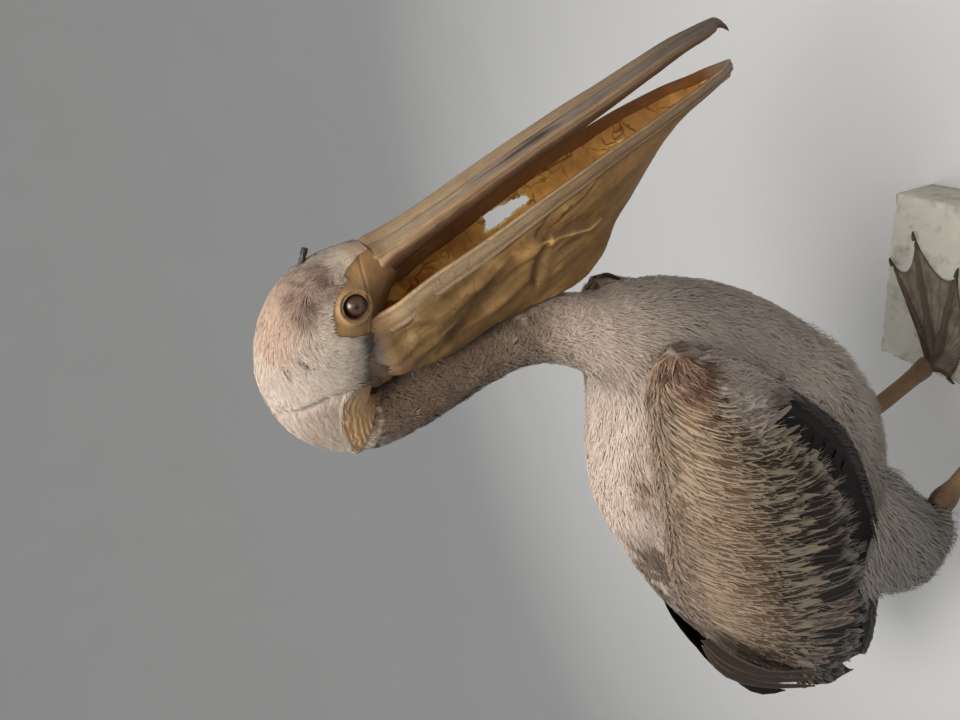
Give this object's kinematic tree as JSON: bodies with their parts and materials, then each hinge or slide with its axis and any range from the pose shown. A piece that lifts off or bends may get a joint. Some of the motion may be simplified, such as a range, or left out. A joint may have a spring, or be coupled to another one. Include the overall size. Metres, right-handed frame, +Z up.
{
  "type": "great white pelican taxidermy mount",
  "caption": "Taxidermy mount of a young great white pelican standing with folded wings and its long hooked bill lowered, mouth slightly open over the dried pouch, on a low cast block.",
  "frame": {"origin": "middle of the block's underside", "axes": "+Z up, -Y the way the bird faces, +X the bird's left"},
  "size_m": [0.29, 0.9458, 0.9372],
  "materials": {
    "plumage_body": "old soft body plumage, pale pinkish grey, matt",
    "plumage_neck": "short woolly grey-brown plumage, matt",
    "plumage_head": "cream hair-like plumage, matt",
    "plumage_wing": "brown and beige vaned feathers, matt",
    "plumage_tail": "grey-brown vaned feathers, matt",
    "horn_bill": "dry horn sheath, satin",
    "horn_jaw": "dry horn over bone, satin",
    "skin_pouch": "dried, wrinkled skin, thin enough to let light through",
    "eye_glass": "polished dark glass eye",
    "leg_skin": "dried scaly skin, matt",
    "foot_skin": "dried scaly skin and web, matt",
    "claw": "dark horn, satin",
    "block_plaster": "cast plaster, matt, smudged",
    "wire": "dark oxidised wire end"
  },
  "bodies": {
    "root": {"base_block": "block_plaster", "bill_lower": "horn_jaw", "bill_upper": "horn_bill", "claw_left_hind": "claw", "claw_left_inner": "claw", "claw_left_middle": "claw", "claw_left_outer": "claw", "claw_right_hind": "claw", "claw_right_inner": "claw", "claw_right_middle": "claw", "claw_right_outer": "claw", "eye_left": "eye_glass", "eye_right": "eye_glass", "foot_left": "foot_skin", "foot_right": "foot_skin", "head": "plumage_head", "leg_left": "leg_skin", "leg_right": "leg_skin", "neck_lower": "plumage_neck", "neck_middle": "plumage_neck", "neck_upper": "plumage_neck", "pouch": "skin_pouch", "tail": "plumage_tail", "thigh_left": "plumage_body", "thigh_right": "plumage_body", "throat": "skin_pouch", "trunk": "plumage_body", "wing_left": "plumage_wing", "wing_right": "plumage_wing", "wire_end": "wire"}
  },
  "joints": []
}
